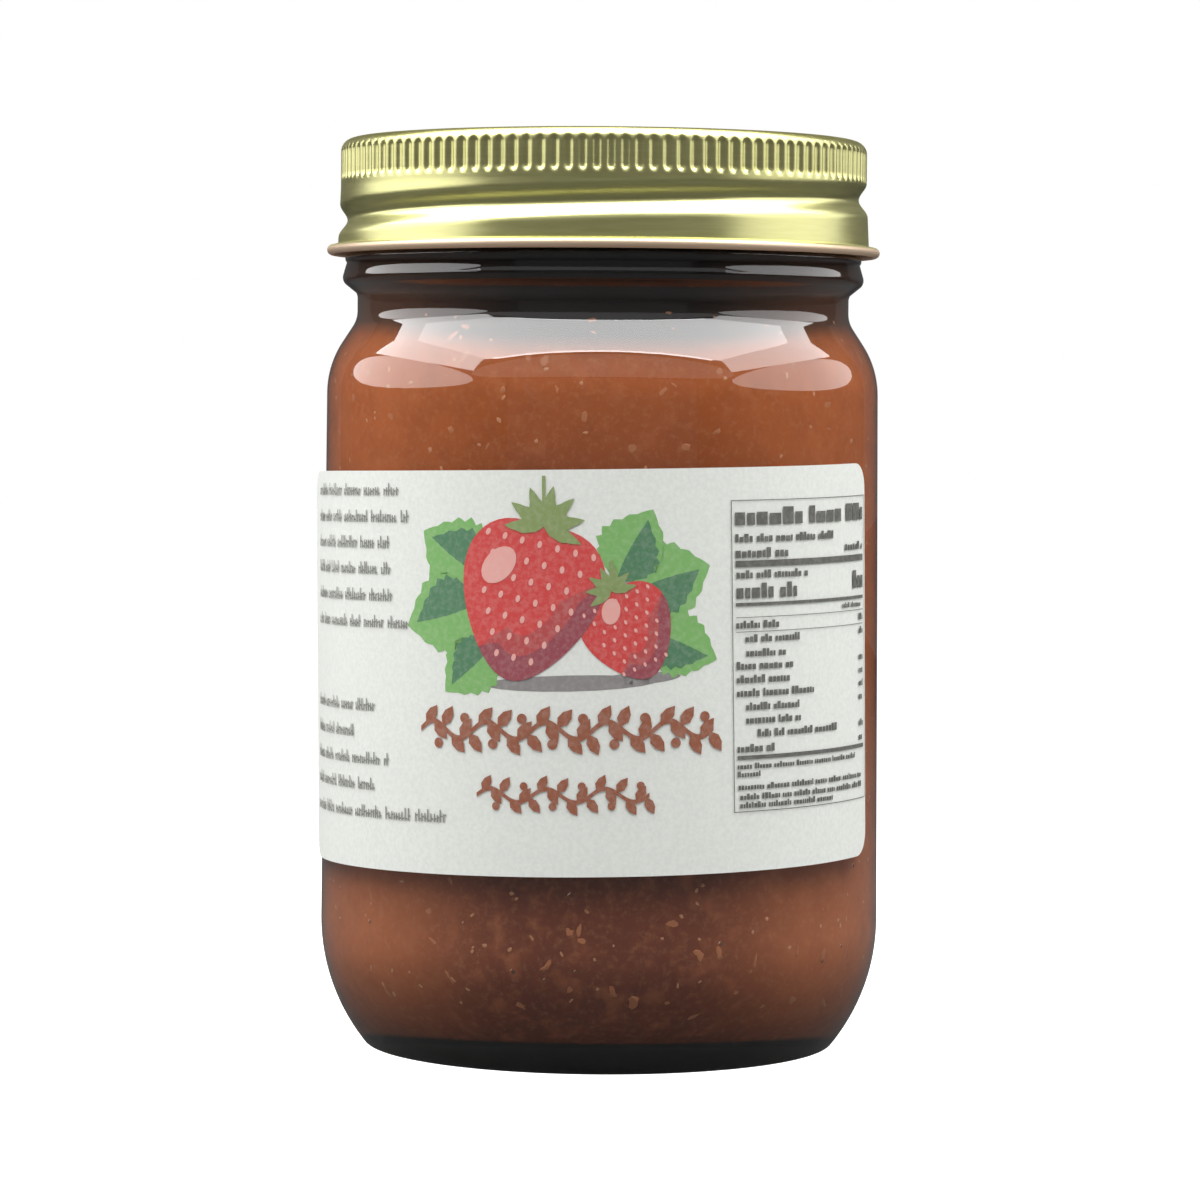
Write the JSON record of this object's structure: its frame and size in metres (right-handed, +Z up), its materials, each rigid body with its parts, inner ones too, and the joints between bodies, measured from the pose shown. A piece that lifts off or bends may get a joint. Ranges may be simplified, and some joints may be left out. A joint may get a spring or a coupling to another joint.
{
  "type": "jar of salsa",
  "caption": "Round glass jar filled with red salsa, with a gold screw lid and a white paper label.",
  "frame": {"origin": "middle of the circle that the jar stands on", "axes": "+Z up along the jar's axis, -Y towards the front of the label, +X to the right of someone facing the label"},
  "size_m": [0.0738, 0.0738, 0.1192],
  "materials": {
    "clear_glass": "smooth clear glass",
    "salsa": "wet, with pulp and seeds",
    "label_paper": "matt white paper",
    "gold_lacquer": "gold lacquer on tinplate, satin"
  },
  "bodies": {
    "root": {"glass_jar": "clear_glass", "salsa": "salsa", "label": "label_paper", "lid": "gold_lacquer"}
  },
  "joints": []
}
